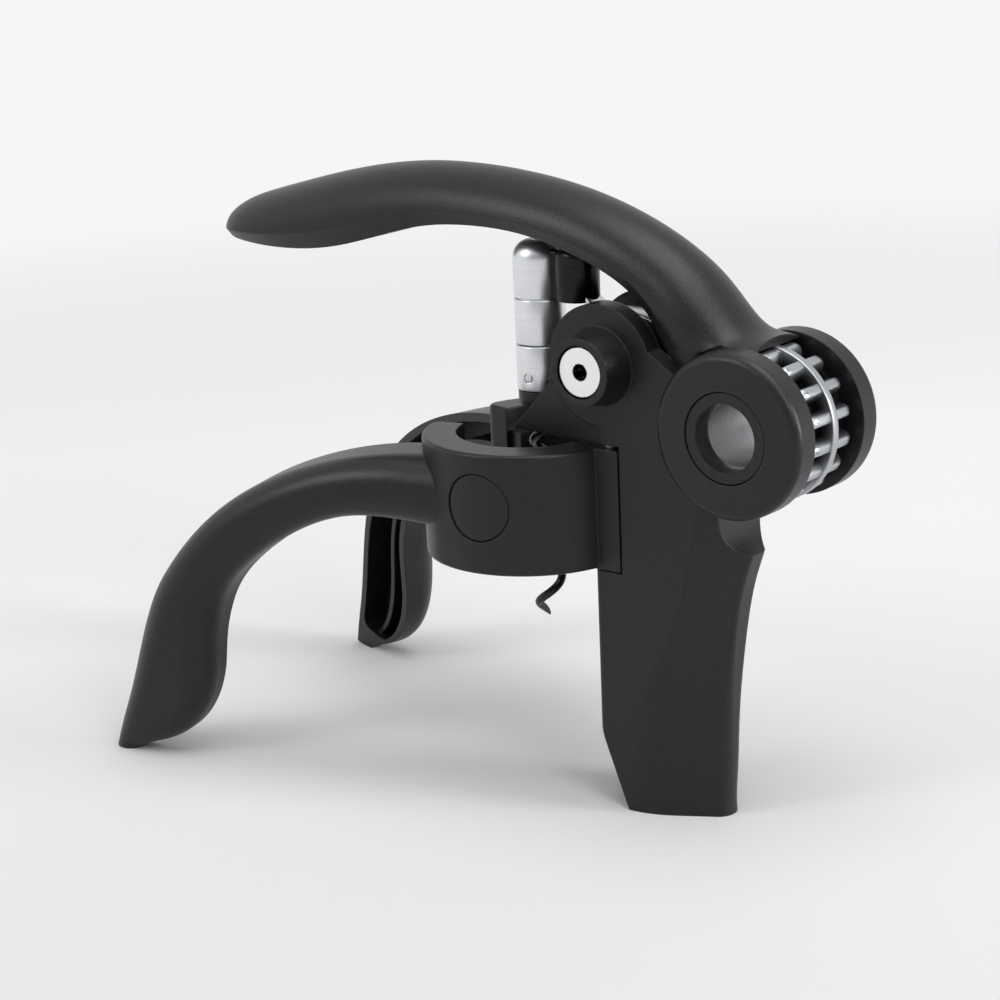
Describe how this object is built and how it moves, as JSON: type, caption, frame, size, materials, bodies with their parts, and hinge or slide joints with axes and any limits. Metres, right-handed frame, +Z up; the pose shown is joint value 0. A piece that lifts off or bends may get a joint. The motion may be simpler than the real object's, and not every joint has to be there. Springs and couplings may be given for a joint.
{
  "type": "lever corkscrew",
  "caption": "Self-standing lever corkscrew: a geared overhead lever lifts a rack and carriage that spin a worm through a nut, over hinged half collars with long grips.",
  "frame": {"origin": "on the worm's axis, level with the table that the grips and the column stand on", "axes": "+X from the worm back to the drum and column, +Y to the far grip, +Z up along the worm"},
  "size_m": [0.2096, 0.113, 0.1655],
  "materials": {
    "moulding": "fine-textured charcoal moulding",
    "black_trim": "smooth black moulding",
    "cast_metal": "bright die-cast metal",
    "satin_metal": "satin plated metal",
    "bright_steel": "flat bright face",
    "steel": "plain turned steel",
    "coated_steel": "glossy black low-friction coating",
    "rubber": "soft black ring"
  },
  "bodies": {
    "frame": {"body_frame": "moulding", "end_cap_near": "moulding", "end_cap_far": "moulding", "axle_tube": "cast_metal", "axle_ring_near": "black_trim", "axle_ring_far": "black_trim", "tie_bolt": "bright_steel", "tie_nut": "bright_steel", "tie_sleeve": "steel", "stop_buffer": "rubber", "hinge_pin_near": "steel", "hinge_pin_far": "steel", "guide_nut": "satin_metal", "nut_seat": "black_trim"},
    "lever": {"lever_handle": "moulding", "pinion": "cast_metal"},
    "carriage": {"carriage_head": "satin_metal", "worm_housing": "satin_metal", "thrust_washer": "steel", "rack": "cast_metal"},
    "worm_body": {"worm": "coated_steel", "worm_hub": "steel"},
    "jaw_near": {"near_jaw": "moulding", "near_liner": "black_trim", "near_badge": "moulding"},
    "jaw_far": {"far_jaw": "moulding", "far_liner": "black_trim", "far_badge": "moulding"}
  },
  "joints": [
    {"name": "lever_swing", "type": "hinge", "parent": "frame", "child": "lever", "pos_m": [0.07, 0, 0.1068], "axis": [0, 1, 0], "range_deg": [0, 155]},
    {"name": "carriage_lift", "type": "slide", "parent": "frame", "child": "carriage", "axis": [0, 0, 1], "range_m": [0, 0.0488]},
    {"name": "worm_spin", "type": "hinge", "parent": "carriage", "child": "worm_body", "pos_m": [0, 0, 0.12], "axis": [0, 0, 1], "range_deg": [0, 1170]},
    {"name": "near_jaw_close", "type": "hinge", "parent": "frame", "child": "jaw_near", "pos_m": [0.0285, -0.0085, 0.08], "axis": [0, 0, -1], "range_deg": [0, 10]},
    {"name": "far_jaw_close", "type": "hinge", "parent": "frame", "child": "jaw_far", "pos_m": [0.0285, 0.0085, 0.08], "axis": [0, 0, 1], "range_deg": [0, 10]}
  ],
  "couplings": [
    {"joint": "carriage_lift", "follows": "lever_swing", "m_per_rad": 0.018},
    {"joint": "worm_spin", "follows": "lever_swing", "ratio": 7.5398}
  ]
}
